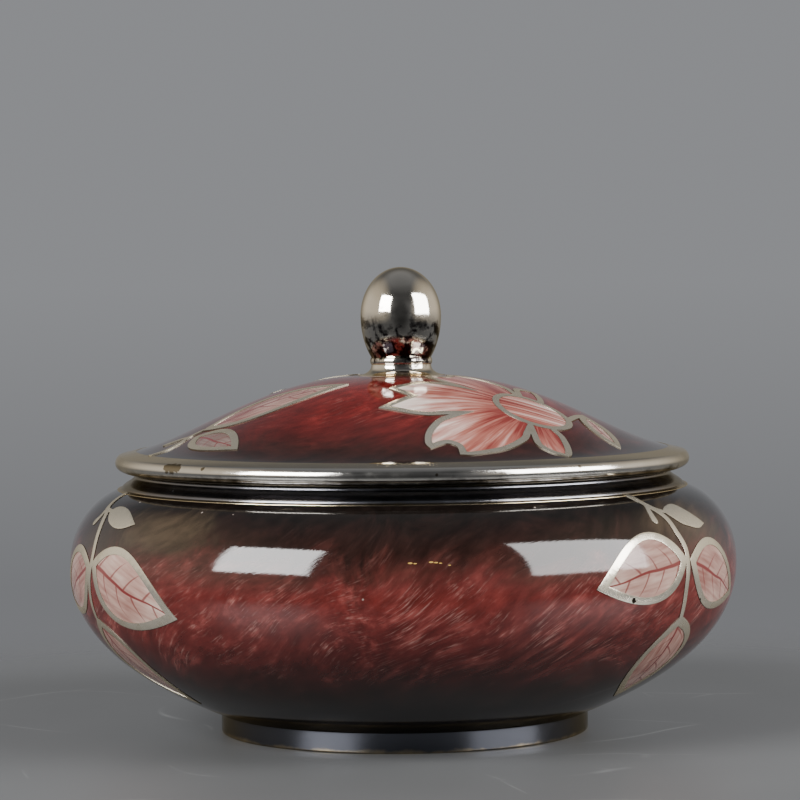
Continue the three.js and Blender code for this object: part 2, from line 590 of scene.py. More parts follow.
def cut_grid(bm):
    """Cuts a flat sheet fine enough to be bent."""
    for axis in (0, 1):
        low = min(v.co[axis] for v in bm.verts)
        high = max(v.co[axis] for v in bm.verts)
        normal = Vector((1 - axis, axis, 0))
        for step in range(1, math.ceil((high - low) / GRID)):
            bmesh.ops.bisect_plane(
                bm, geom=bm.verts[:] + bm.edges[:] + bm.faces[:], dist=CLOSE,
                plane_co=normal * (low + step * GRID), plane_no=normal,
            )


def raise_sheet(bm, top):
    """Gives a flat sheet its thickness, from under the glaze to its top."""
    bmesh.ops.translate(bm, vec=(0, 0, -COAT_UNDER), verts=bm.verts)
    made = bmesh.ops.extrude_face_region(bm, geom=bm.faces[:])["geom"]
    verts = [part for part in made if isinstance(part, bmesh.types.BMVert)]
    bmesh.ops.translate(bm, vec=(0, 0, top + COAT_UNDER), verts=verts)
    return verts


def wrap(bm, place):
    """Bends a flat mesh onto a turned surface."""
    for vert in bm.verts:
        vert.co = place(*vert.co)
    bmesh.ops.recalc_face_normals(bm, faces=bm.faces)


def silver_overlay(name, drawing, place, materials):
    """The silver parts of a drawing, laid on the glaze. The second silver is its edges'."""
    bm, _, _ = drawing.sheet(True)
    drop = bm.verts.layers.float.new("drop")
    bmesh.ops.inset_region(bm, faces=bm.faces[:], thickness=EDGE_WIDTH, use_boundary=True)
    for vert in bm.verts:
        vert[drop] = EDGE_DROP if vert.is_boundary else 0.0
    cut_grid(bm)
    tops = set(raise_sheet(bm, SILVER_PROUD))
    for vert in tops:
        vert.co.z -= vert[drop]
    for face in bm.faces:
        raised = [vert in tops for vert in face.verts]
        face.material_index = int(any(raised) and not all(raised))
    wrap(bm, place)
    return finish_mesh(name, bm, materials, sharp=SHEET_SHARP)


def painted_panels(name, drawing, place, materials):
    """The painted parts of a drawing, with a map that runs along each leaf or petal."""
    bm, kind_layer, kinds = drawing.sheet(False)
    cut_grid(bm)
    raise_sheet(bm, ENAMEL_PROUD)
    brush = bm.loops.layers.uv.new("brush")
    for face in bm.faces:
        paint_map, face.material_index = drawing.maps[kinds[face[kind_layer]]]
        for loop in face.loops:
            loop[brush].uv = paint_map(loop.vert.co.xy)
    wrap(bm, place)
    return finish_mesh(name, bm, materials, sharp=SHEET_SHARP)


# Materials

def linear(hex_colour):
    """A linear colour from its sRGB hex value."""
    parts = [int(hex_colour[i:i + 2], 16) / 255 for i in (1, 3, 5)]
    return [c / 12.92 if c <= 0.04045 else ((c + 0.055) / 1.055) ** 2.4 for c in parts] + [1]


def scale_for(size):
    """The scale that makes a pattern on Object coordinates repeat in so many millimetres."""
    return 1 / (size * MM)


def new_material(name):
    """A material, its surface shader, the function that adds nodes to it, and its linker."""
    material = bpy.data.materials.new(name)
    material.use_nodes = True
    tree = material.node_tree
    return material, tree.nodes["Principled BSDF"], adder(tree), tree.links.new


def adder(tree):
    """The function that adds a node to a tree, with its settings and links."""

    def add(kind, inputs=None, stops=None, **settings):
        node = tree.nodes.new("ShaderNode" + kind)
        for key, value in settings.items():
            setattr(node, key, value)
        for key, value in (inputs or {}).items():
            if isinstance(value, bpy.types.NodeSocket):
                tree.links.new(value, node.inputs[key])
            else:
                node.inputs[key].default_value = value
        if stops:
            ramp = node.color_ramp
            while len(ramp.elements) < len(stops):
                ramp.elements.new(1)
            for element, (place, colour) in zip(ramp.elements, stops):
                element.position = place
                element.color = linear(colour)
        return node

    return add


# That of a clear feldspar glaze, and of the enamels fired on it
GLAZE_IOR = 1.52


def glassy(surface, roughness):
    """Sets the polish of a glaze or an enamel."""
    surface.inputs["Roughness"].default_value = roughness
    surface.inputs["IOR"].default_value = GLAZE_IOR


# How far round from the front the first chart gives way to the second
CHARTS_MEET = (math.radians(95), math.radians(125))


def turned_charts(add, along, spread):
    """Two flat charts of a turned surface, in millimetres, and how much the second shows.

    One has its seam at the back and one at the front, so neither seam is ever seen.
    """
    place = add("TexCoord").outputs["Object"]
    xyz = add("SeparateXYZ", {0: place})
    x, y = xyz.outputs[0], xyz.outputs[1]
    minus_x = add("Math", {0: x, 1: -1.0}, operation="MULTIPLY").outputs[0]
    minus_y = add("Math", {0: y, 1: -1.0}, operation="MULTIPLY").outputs[0]
    charts = []
    turns = []
    for across, ahead in ((x, minus_y), (minus_x, y)):
        turn = add("Math", {0: across, 1: ahead}, operation="ARCTAN2").outputs[0]
        turns.append(turn)
        arc_length = add("Math", {0: turn, 1: spread}, operation="MULTIPLY").outputs[0]
        charts.append(add("CombineXYZ", {0: arc_length, 1: along, 2: 0.0}).outputs[0])
    size = add("Math", {0: turns[0]}, operation="ABSOLUTE").outputs[0]
    weight = add("MapRange", {0: size, 1: CHARTS_MEET[0], 2: CHARTS_MEET[1]},
                 interpolation_type="SMOOTHSTEP").outputs[0]
    return charts, weight


# How far apart a brush changes its swing, in millimetres
SWOOP_MM = 40


def brushwork(add, charts, weight, angle, length, width, detail, swoop, seed):
    """Brush marks so long and wide, at an angle to the level, swinging by swoop mm."""
    values = []
    for i, chart in enumerate(charts):
        bend = add("TexNoise", {"Vector": chart, "Scale": 1 / SWOOP_MM, "Detail": 1.0,
                                "W": seed + i},
                   noise_dimensions="4D").outputs["Color"]
        bend = add("VectorMath", {0: bend, 1: (0.5, 0.5, 0.5)}, operation="SUBTRACT").outputs[0]
        bend = add("VectorMath", {0: bend, "Scale": swoop}, operation="SCALE").outputs[0]
        bent = add("VectorMath", {0: chart, 1: bend}, operation="ADD").outputs[0]
        laid = add("Mapping", {"Vector": bent, "Rotation": (0, 0, math.radians(angle)),
                               "Scale": (length, width, 1.0)}, vector_type="TEXTURE").outputs[0]
        values.append(add("TexNoise", {"Vector": laid, "Scale": 1.0, "Detail": detail,
                                       "Roughness": 0.6, "W": seed + 3.0 * i},
                          noise_dimensions="4D").outputs[0])
    return add("Mix", {0: weight, 2: values[0], 3: values[1]}).outputs[0]


def olive_wash(add, painted, chart, stray, tone, colour, midway, side, level, reach, rise):
    """The paint with a wash over it, at one level and on both sides of a spot midway.

    Reach and rise are the half sizes of each wash, and all lengths are millimetres.
    """
    where = add("SeparateXYZ", {0: chart}).outputs
    off = add("Math", {0: where[0], 1: midway}, operation="SUBTRACT").outputs[0]
    off = add("Math", {0: off}, operation="ABSOLUTE").outputs[0]
    off = add("Math", {0: off, 1: side}, operation="SUBTRACT").outputs[0]
    off = add("Math", {0: off, 1: reach}, operation="DIVIDE").outputs[0]
    high = add("Math", {0: where[1], 1: level}, operation="SUBTRACT").outputs[0]
    high = add("Math", {0: high, 1: rise}, operation="DIVIDE").outputs[0]
    apart = add("VectorMath", {0: add("CombineXYZ", {0: off, 1: high}).outputs[0]},
                operation="LENGTH").outputs["Value"]
    apart = add("Math", {0: stray, 1: -1.6, 2: apart}, operation="MULTIPLY_ADD").outputs[0]
    wash = add("MapRange", {0: apart, 1: -0.6, 2: 0.35, 3: 0.68, 4: 0.0},
               interpolation_type="SMOOTHSTEP").outputs[0]
    washed = add("VectorMath", {0: linear(colour)[:3], "Scale": tone}, operation="SCALE")
    return add("Mix", {0: wash, 6: painted, 7: washed.outputs[0]}, data_type="RGBA").outputs[2]


def kiln_specks(add, painted, place):
    """The paint with pale specks of kiln dust fired into its glaze."""
    pores = add("TexVoronoi", {"Vector": place, "Scale": scale_for(7.7)}).outputs
    near = add("MapRange", {0: pores["Distance"], 1: 0.02, 2: 0.045, 3: 0.7, 4: 0.0}).outputs[0]
    some = add("Math", {0: add("SeparateXYZ", {0: pores["Color"]}).outputs[0], 1: 0.72},
               operation="GREATER_THAN").outputs[0]
    speck = add("Math", {0: near, 1: some}, operation="MULTIPLY").outputs[0]
    return add("Mix", {0: speck, 6: painted, 7: linear("#a89c94")}, data_type="RGBA").outputs[2]


def gilt_flecks(add, painted, place, gilt):
    """The paint with worn gold flecks on it, each at a place and with a radius in millimetres.

    Heights count three times, so that a fleck is wider than it is high.
    """
    flat = add("VectorMath", {0: place, 1: (1.0, 1.0, 3.0)}, operation="MULTIPLY").outputs[0]
    for (x, y, z), radius in gilt:
        away = add("VectorMath", {0: flat, 1: (x * MM, y * MM, 3 * z * MM)},
                   operation="DISTANCE").outputs["Value"]
        fleck = add("MapRange", {0: away, 1: 0.7 * radius * MM, 2: radius * MM,
                                 3: 0.9, 4: 0.0}).outputs[0]
        painted = add("Mix", {0: fleck, 6: painted, 7: linear("#b3924e")},
                      data_type="RGBA").outputs[2]
    return painted


def painted_glaze(name, along_mm, zones, lit_zones, spread, strokes, feather, olive=None,
                  gilt=()):
    """Crimson painting under a clear glaze: fired, so glossy as glass, over brushed colour.

    The zones run from the start of the surface to its end, and so do the lit zones, where
    the lighter strokes and the fine feathered ones show in their own colours. Spread is the
    radius at which a millimetre of the brushwork is a real one.
    """
    material, surface, add, link = new_material(name)
    along = add("Attribute", attribute_name="along").outputs["Fac"]
    charts, weight = turned_charts(add, along, spread)
    broad = brushwork(add, charts, weight, angle=26, length=34.0, width=9.0, detail=3.0,
                      swoop=16.0, seed=1.0)
    middle = brushwork(add, charts, weight, angle=33, length=9.0, width=3.3, detail=5.0,
                       swoop=20.0, seed=5.0)
    fine = brushwork(add, charts, weight, angle=36, length=5.0, width=0.5, detail=3.0,
                     swoop=22.0, seed=9.0)
    clump = brushwork(add, charts, weight, angle=30, length=13.0, width=8.0, detail=3.0,
                      swoop=12.0, seed=14.0)

    share = add("Math", {0: along, 1: 1 / along_mm}, operation="MULTIPLY").outputs[0]
    stray = add("Math", {0: broad, 1: 0.5}, operation="SUBTRACT").outputs[0]
    share = add("Math", {0: stray, 1: 0.3, 2: share}, operation="MULTIPLY_ADD").outputs[0]
    ground = add("ValToRGB", {0: share}, stops=zones).outputs[0]
    lit = add("ValToRGB", {0: share}, stops=lit_zones).outputs[0]
    tone = add("MapRange", {0: middle, 1: 0.36, 2: 0.66, 3: 0.68, 4: 1.32}).outputs[0]
    crowd = add("MapRange", {0: clump, 1: 0.44, 2: 0.62, 3: 0.08, 4: 1.0}).outputs[0]

    painted = add("VectorMath", {0: ground, "Scale": tone}, operation="SCALE").outputs[0]
    for brush, low, high, amount, colour in (
            (middle, 0.48, 0.74, 0.8, strokes), (fine, 0.5, 0.76, 0.46, feather)):
        mark = add("MapRange", {0: brush, 1: low, 2: high},
                   interpolation_type="SMOOTHSTEP").outputs[0]
        for factor in (crowd, lit, amount):
            mark = add("Math", {0: mark, 1: factor}, operation="MULTIPLY").outputs[0]
        painted = add("Mix", {0: mark, 6: painted, 7: linear(colour)},
                      data_type="RGBA").outputs[2]
    if olive:
        painted = olive_wash(add, painted, charts[0], broad, tone, **olive)
    place = add("TexCoord").outputs["Object"]
    painted = kiln_specks(add, painted, place)
    painted = gilt_flecks(add, painted, place, gilt)
    link(painted, surface.inputs["Base Color"])
    ripple = add("Bump", {"Height": fine, "Strength": 0.4, "Distance": 0.03 * MM})
    link(ripple.outputs[0], surface.inputs["Normal"])
    glassy(surface, 0.06)
    return material


def white_glaze():
    """Clear glaze on white porcelain: pale, faintly warm, with soft clouds of tone."""
    material, surface, add, link = new_material("clear_glazed_porcelain")
    place = add("TexCoord").outputs["Object"]
    cloud = add("TexNoise", {"Vector": place, "Scale": scale_for(16.7), "Detail": 3.0}).outputs[0]
    tone = add("ValToRGB", {0: cloud}, stops=[(0.3, "#e6e0d4"), (0.7, "#efeae0")]).outputs[0]
    link(tone, surface.inputs["Base Color"])
    glassy(surface, 0.12)
    return material


def bisque():
    """Bare fired porcelain where the foot was wiped: matt, grained, greyed by wear."""
    material, surface, add, link = new_material("bisque_porcelain")
    place = add("TexCoord").outputs["Object"]
    grain = add("TexNoise", {"Vector": place, "Scale": scale_for(1.11), "Detail": 4.0}).outputs[0]
    tone = add("ValToRGB", {0: grain}, stops=[(0.3, "#c9c2b6"), (0.7, "#ddd7cb")]).outputs[0]
    link(tone, surface.inputs["Base Color"])
    surface.inputs["Roughness"].default_value = 0.75
    return material


def silver(name, bright, dull, along_mm, tarnish, patchy=0.35, rough=(0.05, 0.2), blots=0.0,
           wear=(), worn="#1d1814", metal=1.0):
    """Electroplated silver, polished and then tarnished: mirror bright with brown clouds.

    Tarnish is a ramp over the stretch, black where the silver is bright, and blots is how
    far it breaks up into spots. Wear lists places where the coat has worn to the colour
    named worn, with a radius in millimetres. Metal under one is for silver whose fine
    hatching scatters the light. The tint at the edges is the straw colour of a thin
    sulphide film.
    """
    material, surface, add, link = new_material(name)
    place = add("TexCoord").outputs["Object"]
    along = add("Attribute", attribute_name="along").outputs["Fac"]
    share = add("Math", {0: along, 1: 1 / along_mm}, operation="MULTIPLY").outputs[0]
    cloud = add("TexNoise", {"Vector": place, "Scale": scale_for(6.25), "Detail": 6.0,
                             "Roughness": 0.68}).outputs[0]
    drift = add("Math", {0: cloud, 1: 0.5}, operation="SUBTRACT").outputs[0]
    share = add("Math", {0: drift, 1: patchy, 2: share}, operation="MULTIPLY_ADD").outputs[0]
    stain = add("ValToRGB", {0: share}, stops=tarnish).outputs[0]
    blot = add("TexNoise", {"Vector": place, "Scale": scale_for(3.03), "Detail": 5.0,
                            "Roughness": 0.6}).outputs[0]
    blot = add("MapRange", {0: blot, 1: 0.46, 2: 0.54, 3: 1 - blots, 4: 1.0}).outputs[0]
    stain = add("Math", {0: stain, 1: blot}, operation="MULTIPLY").outputs[0]
    colour = add("Mix", {0: stain, 6: linear(bright), 7: linear(dull)},
                 data_type="RGBA").outputs[2]
    fleck = add("TexNoise", {"Vector": place, "Scale": scale_for(0.714),
                             "Detail": 2.0}).outputs[0]
    for spot, radius in wear:
        away = add("VectorMath", {0: place, 1: [c * MM for c in spot]},
                   operation="DISTANCE").outputs["Value"]
        ragged = add("Math", {0: fleck, 1: -1.1 * radius * MM, 2: away},
                     operation="MULTIPLY_ADD").outputs[0]
        bare = add("MapRange", {0: ragged, 1: 0.2 * radius * MM, 2: 0.42 * radius * MM,
                                3: 1.0, 4: 0.0}).outputs[0]
        colour = add("Mix", {0: bare, 6: colour, 7: linear(worn)}, data_type="RGBA").outputs[2]
    link(colour, surface.inputs["Base Color"])
    haze = add("MapRange", {0: cloud, 1: 0.35, 2: 0.75, 3: rough[0], 4: rough[1]}).outputs[0]
    link(haze, surface.inputs["Roughness"])
    surface.inputs["Metallic"].default_value = metal
    surface.inputs["Specular Tint"].default_value = linear("#f1e3c6")
    bump = add("Bump", {"Height": fleck, "Strength": 0.08, "Distance": 0.1 * MM})
    link(bump.outputs[0], surface.inputs["Normal"])
    return material


def brush_map(add):
    """The leaf's own map: how far along it, how far across, and a number for each leaf."""
    where = add("SeparateXYZ", {0: add("UVMap", uv_map="brush").outputs[0]})
    half = add("Math", {0: where.outputs[0], 1: 0.5}, operation="MULTIPLY").outputs[0]
    number = add("Math", {0: half}, operation="FLOOR").outputs[0]
    share = add("Math", {0: half}, operation="FRACT").outputs[0]
    share = add("Math", {0: share, 1: 2.0}, operation="MULTIPLY").outputs[0]
    return share, where.outputs[1], number


def leaf_enamel(name, pale, middling, deep):
    """Overglaze enamel of the leaves, brushed, with crimson veins drawn on it.

    Later leaves are painted deeper. On the bowl this is painted shade on the lower, down-facing
    leaves; on the lid it only deepens the later leaves' colour.
    """
    material, surface, add, link = new_material(name)
    share, across, number = brush_map(add)
    spot = add("CombineXYZ", {0: share, 1: across, 2: number}).outputs[0]
    sway = add("TexNoise", {"Vector": spot, "Scale": 3.0, "Detail": 0.5}).outputs[0]
    sway = add("Math", {0: sway, 1: 0.5}, operation="SUBTRACT").outputs[0]
    middle = add("Math", {0: sway, 1: 0.06, 2: across}, operation="MULTIPLY_ADD").outputs[0]
    out = add("Math", {0: middle}, operation="ABSOLUTE").outputs[0]

    streak_map = add("Mapping", {"Vector": spot, "Scale": (3.0, 26.0, 1.0)}).outputs[0]
    streak = add("TexNoise", {"Vector": streak_map, "Scale": 1.0, "Detail": 3.0}).outputs[0]
    cloud = add("TexNoise", {"Vector": spot, "Scale": 2.6, "Detail": 2.0}).outputs[0]
    mixed = add("Math", {0: streak, 1: cloud}, operation="ADD").outputs[0]
    depth = add("MapRange", {0: mixed, 1: 0.6, 2: 1.5}).outputs[0]
    nearer = add("MapRange", {0: share, 1: 0.0, 2: 1.0, 3: 0.25, 4: -0.2}).outputs[0]
    depth = add("Math", {0: depth, 1: nearer}, operation="ADD", use_clamp=True).outputs[0]
    # Painted shade: each later leaf is deeper. On the bowl the later leaves hang lower and face
    # down; on the lid this only deepens their colour.
    later = add("MapRange", {0: number, 1: 0.7, 2: 4.0, 3: 0.0, 4: 0.46}).outputs[0]
    depth = add("Math", {0: depth, 1: later}, operation="ADD").outputs[0]
    ground = add("ValToRGB", {0: depth}, stops=[
        (0.0, pale), (0.45, middling), (1.0, deep)]).outputs[0]

    # Midrib, thinner towards the tip
    rib_width = add("MapRange", {0: share, 1: 0.1, 2: 0.95, 3: 0.014, 4: 0.004}).outputs[0]
    rib = add("Math", {0: out, 1: rib_width}, operation="DIVIDE").outputs[0]
    rib = add("MapRange", {0: rib, 1: 0.7, 2: 1.3, 3: 1.0, 4: 0.0}).outputs[0]

    # Side veins, which leave the midrib forwards, a little staggered from side to side
    side = add("Math", {0: middle, 1: 0.0}, operation="GREATER_THAN").outputs[0]
    bow = add("Math", {0: out, 1: -1.7, 2: -0.55}, operation="MULTIPLY_ADD").outputs[0]
    lean = add("Math", {0: out, 1: bow, 2: share}, operation="MULTIPLY_ADD").outputs[0]
    lean = add("Math", {0: side, 1: 0.09, 2: lean}, operation="MULTIPLY_ADD").outputs[0]
    beat = add("Math", {0: lean, 1: 5.2}, operation="MULTIPLY").outputs[0]
    beat = add("Math", {0: sway, 1: 0.5, 2: beat}, operation="MULTIPLY_ADD").outputs[0]
    beat = add("Math", {0: beat, 1: 0.5}, operation="PINGPONG").outputs[0]
    vein_width = add("MapRange", {0: out, 1: 0.0, 2: 0.22, 3: 0.06, 4: 0.015}).outputs[0]
    vein = add("Math", {0: beat, 1: vein_width}, operation="DIVIDE").outputs[0]
    vein = add("MapRange", {0: vein, 1: 0.5, 2: 1.3, 3: 0.8, 4: 0.0}).outputs[0]
    fade = add("MapRange", {0: out, 1: 0.11, 2: 0.2, 3: 1.0, 4: 0.0}).outputs[0]
    vein = add("Math", {0: vein, 1: fade}, operation="MULTIPLY").outputs[0]
    start = add("MapRange", {0: lean, 1: 0.1, 2: 0.2}).outputs[0]
    vein = add("Math", {0: vein, 1: start}, operation="MULTIPLY").outputs[0]
    ink = add("Math", {0: rib, 1: vein}, operation="MAXIMUM").outputs[0]
    ink = add("Math", {0: ink, 1: 0.9}, operation="MULTIPLY").outputs[0]
    painted = add("Mix", {0: ink, 6: ground, 7: linear("#641b1e")}, data_type="RGBA").outputs[2]
    link(painted, surface.inputs["Base Color"])
    glassy(surface, 0.1)
    return material


def petal_enamel():
    """Overglaze enamel of the petals: brushed from crimson at the heart to white tips."""
    material, surface, add, link = new_material("overglaze_enamel_petal")
    where = add("SeparateXYZ", {0: add("UVMap", uv_map="brush").outputs[0]})
    share, turn = where.outputs[0], where.outputs[1]
    spot = add("CombineXYZ", {0: share, 1: turn, 2: 0.0}).outputs[0]
    streak_map = add("Mapping", {"Vector": spot, "Scale": (1.8, 11.0, 1.0)}).outputs[0]
    streak = add("TexNoise", {"Vector": streak_map, "Scale": 1.0, "Detail": 4.0,
                              "Roughness": 0.6}).outputs[0]
    cloud = add("TexNoise", {"Vector": spot, "Scale": 2.4, "Detail": 2.0}).outputs[0]
    depth = add("Math", {0: share, 1: -1.0, 2: 1.0}, operation="MULTIPLY_ADD").outputs[0]
    stray = add("Math", {0: streak, 1: 0.5}, operation="SUBTRACT").outputs[0]
    depth = add("Math", {0: stray, 1: 1.7, 2: depth}, operation="MULTIPLY_ADD").outputs[0]
    drift = add("Math", {0: cloud, 1: 0.5}, operation="SUBTRACT").outputs[0]
    depth = add("Math", {0: drift, 1: 0.9, 2: depth}, operation="MULTIPLY_ADD").outputs[0]
    painted = add("ValToRGB", {0: depth}, stops=[
        (0.06, "#cdbfb6"), (0.3, "#b18d83"), (0.55, "#935a4f"), (0.85, "#6d2925")]).outputs[0]
    link(painted, surface.inputs["Base Color"])
    glassy(surface, 0.1)
    return material


# Radii in metres: the whole board, and where it starts to fade
BOARD_RADIUS = 0.27
BOARD_SOLID = 0.12
BOARD_TONES = ("#5a5b5c", "#5e5f60")


def painted_board():
    """Satin painted board, grey and a little scratched, that runs out into the room's grey."""
    material, surface, add, link = new_material("painted_board")
    place = add("TexCoord").outputs["Object"]
    cloud = add("TexNoise", {"Vector": place, "Scale": scale_for(71.4), "Detail": 2.0}).outputs[0]
    tone = add("ValToRGB", {0: cloud}, stops=list(zip((0.3, 0.7), BOARD_TONES))).outputs[0]
    bend = add("TexNoise", {"Vector": place, "Scale": scale_for(143)}).outputs["Color"]
    bend = add("VectorMath", {0: bend, "Scale": 120 * MM}, operation="SCALE").outputs[0]
    bent = add("VectorMath", {0: place, 1: bend}, operation="ADD").outputs[0]
    line = add("TexVoronoi", {"Vector": bent, "Scale": scale_for(62.5)},
               feature="DISTANCE_TO_EDGE")
    line = add("MapRange", {0: line.outputs[0], 1: 0.0, 2: 0.009, 3: 1.0, 4: 0.0}).outputs[0]
    rubbed = add("TexNoise", {"Vector": place, "Scale": scale_for(38.5), "Detail": 3.0}).outputs[0]
    rubbed = add("MapRange", {0: rubbed, 1: 0.5, 2: 0.66, 3: 0.0, 4: 0.35}).outputs[0]
    scratch = add("Math", {0: line, 1: rubbed}, operation="MULTIPLY").outputs[0]
    scratched = add("Mix", {0: scratch, 6: tone, 7: linear("#a9abab")},
                    data_type="RGBA").outputs[2]
    link(scratched, surface.inputs["Base Color"])
    surface.inputs["Roughness"].default_value = 0.4
    away = add("VectorMath", {0: place}, operation="LENGTH").outputs["Value"]
    fade = add("MapRange", {0: away, 1: BOARD_SOLID, 2: BOARD_RADIUS, 3: 1.0, 4: 0.0},
               interpolation_type="SMOOTHSTEP").outputs[0]
    link(fade, surface.inputs["Alpha"])
    return material


DOME_LENGTH = LID_TOP.lengths[-1]
LID_SPREAD = 40.0

bowl_paint = painted_glaze(
    "underglaze_crimson_bowl", PAINTED_LENGTH,
    [(0.13, "#171110"), (0.25, "#25140f"), (0.36, "#3a1816"), (0.48, "#4c1b19"), (0.6, "#58211e"),
     (0.68, "#552623"), (0.74, "#3c1f1b"), (0.8, "#221411"), (0.93, "#110d0b")],
    [(0.18, "#000000"), (0.34, "#787878"), (0.5, "#f0f0f0"), (0.68, "#d0d0d0"), (0.78, "#484848"),
     (0.9, "#1c1c1c")],
    spread=BELLY_RADIUS, strokes="#8f4e48", feather="#c09a90",
    olive={"colour": "#43372a", "midway": 10.0, "side": 74.0, "level": 61.0, "reach": 21.0,
           "rise": 8.0},
    gilt=[((1.5, -81.46, 48.3), 0.6), ((2.6, -81.43, 48.2), 0.45), ((6.2, -81.23, 48.45), 0.6),
          ((7.3, -81.14, 48.35), 0.5), ((8.3, -81.05, 48.2), 0.4),
          ((10.3, -80.83, 47.7), 0.4)],
)
lid_paint = painted_glaze(
    "underglaze_crimson_lid", DOME_LENGTH,
    [(0.0, "#1a110f"), (0.16, "#2d120e"), (0.36, "#4a1311"), (0.7, "#601613"), (1.0, "#4e1815")],
    [(0.0, "#101010"), (0.3, "#606060"), (0.5, "#c0c0c0"), (1.0, "#e0e0e0")],
    spread=LID_SPREAD, strokes="#823531", feather="#ab7d74",
)
porcelain = white_glaze()
bare_foot = bisque()
CLEAN, TARNISHED = "#000000", "#ffffff"
leaf_silver = silver("silver_overlay_leaves", "#ebe4d4", "#c0b59f", 1.0,
                     [(0.0, CLEAN), (0.1, TARNISHED)], rough=(0.16, 0.34), blots=0.5,
                     wear=[((52.8, -63.1, 37.5), 0.8), ((69.8, -42.8, 35.5), 0.5)], metal=0.9)
edge_silver = silver("tarnished_silver_edges", "#8f897b", "#6d6961", 1.0,
                     [(0.0, CLEAN), (0.1, TARNISHED)], rough=(0.4, 0.55))
LEAF_SILVERS = [leaf_silver, edge_silver]
rim_silver = silver("silver_overlay_rim", "#e3dfd8", "#3a3633", RIM_LENGTH,
                    [(0.26, TARNISHED), (0.4, CLEAN), (0.9, CLEAN), (1.2, "#606060")], 0.5,
                    rough=(0.07, 0.24),
                    wear=[((-55.3, -44.2, 68.0), 1.5), ((-54.0, -45.8, 68.1), 1.8),
                          ((-52.7, -47.3, 68.3), 1.4), ((-46.4, -53.4, 68.3), 0.6),
                          ((7.8, -70.5, 67.3), 0.4), ((41.0, -57.9, 68.3), 0.6)],
                    worn="#8a8170")
neck_silver = silver("silver_overlay_neck", "#c2b498", "#74757c", NECK_LENGTH,
                     [(0.02, CLEAN), (0.12, TARNISHED), (0.5, TARNISHED), (0.6, CLEAN)], 0.12,
                     rough=(0.16, 0.3))
foot_silver = silver("silver_overlay_foot", "#b7a88c", "#5c5e66", FOOT_LENGTH,
                     [(0.0, CLEAN), (0.1, TARNISHED), (0.76, TARNISHED), (0.95, CLEAN)], 0.3,
                     rough=(0.1, 0.26))
knob_silver = silver("silver_overlay_knob", "#e6e0d5", "#2e282c", KNOB_LENGTH,
                     [(0.13, CLEAN), (0.17, TARNISHED), (0.4, TARNISHED), (0.52, CLEAN)], 0.5,
                     rough=(0.05, 0.16), blots=0.85)
leaf_paint = leaf_enamel("overglaze_enamel_leaf", "#bfaba0", "#a4867b", "#744740")
dusky_paint = leaf_enamel("overglaze_enamel_dusky_leaf", "#a89c92", "#87766f", "#665049")
petal_paint = petal_enamel()

bowl = turned_piece("bowl_body", BOWL_STRETCHES,
                    [porcelain, bowl_paint, bare_foot, neck_silver, foot_silver])
lid = turned_piece("lid_body", LID_STRETCHES,
                   [porcelain, lid_paint, bare_foot, rim_silver, knob_silver])

# Ornament of the bowl: sprays drawn flat round the point where their leaves meet


def spray(leaves, stem, bud, buds_stalk, tendril):
    drawing = Drawing()
    # Each leaf's enamel is painted deeper than the one before, and the last, which hangs down, most:
    # painted shade.
    for shape in leaves:
        drawing.leaf(*shape)
    drawing.lay(stroke(stem, 1.9, 1.5), SILVER)
    drawing.lay(stroke(tendril, 1.1, 1.9), SILVER)
    drawing.lay(stroke(buds_stalk, 1.0, 1.0), SILVER)
    drawing.lay(spline(bud, closed=True), SILVER)
    return drawing


def right_spray():
    return spray(
        leaves=[
            ((-0.6, -0.4), (-31.6, -5.4), 7.4, 9.4),
            ((0.8, -0.6), (30.5, -11.5), 8.6, 8.2),
            ((-0.8, -14.0), (2.5, -44.0), 9.6, 9.2),
        ],
        stem=[(-7.0, 21.5), (-6.6, 17.4), (-5.8, 15.0), (-2.6, 10.5), (-1.6, 6.2), (-0.2, 2.0),
              (-0.4, -3.0), (-1.2, -8.1), (-0.8, -14.6)],
        bud=[(-2.0, 12.2, 0), (1.0, 13.6), (5.0, 14.0), (8.8, 11.4), (14.0, 7.3, 0), (9.8, 6.4),
             (5.5, 7.2), (1.9, 8.6)],
        buds_stalk=[(-5.6, 14.6), (-3.8, 13.2), (-1.4, 12.0)],
        tendril=[(-5.8, 15.0), (-6.9, 12.2), (-7.4, 9.8)],
    )


def left_spray():
    return spray(
        leaves=[
            ((0.6, 0.2), (34.9, -11.0), 8.6, 10.2),
            ((-0.8, -0.4), (-29.0, -12.0), 8.2, 8.4),
            ((-1.6, -13.4), (6.5, -45.5), 8.6, 8.4),
        ],
        stem=[(-10.0, 22.5), (-8.6, 18.0), (-7.0, 14.5), (-4.3, 12.7), (-1.5, 8.2), (0.1, 3.2),
              (0.0, 0.0), (-0.9, -3.6), (-1.7, -10.5), (-1.6, -14.0)],
        bud=[(-3.2, 13.6, 0), (-0.6, 15.2), (3.5, 15.3), (8.6, 13.9), (14.8, 10.8, 0),
             (10.4, 9.3), (5.8, 9.3), (0.5, 10.9)],
        buds_stalk=[(-6.6, 14.3), (-4.6, 13.8), (-2.4, 13.6)],
        tendril=[(-7.0, 14.5), (-6.6, 11.8), (-7.8, 9.8)],
    )


ornament = []
for side, azimuth, height, drawn in (
        ("right", 54.1, 46.1, right_spray()), ("left", -64.3, 45.1, left_spray()),
        ("back", 175.0, 45.6, right_spray())):
    place = on_bowl(azimuth, height)
    ornament.append((silver_overlay(f"spray_{side}_silver", drawn, place, LEAF_SILVERS), "bowl"))
    ornament.append((painted_panels(f"spray_{side}_leaves", drawn, place, [leaf_paint]), "bowl"))

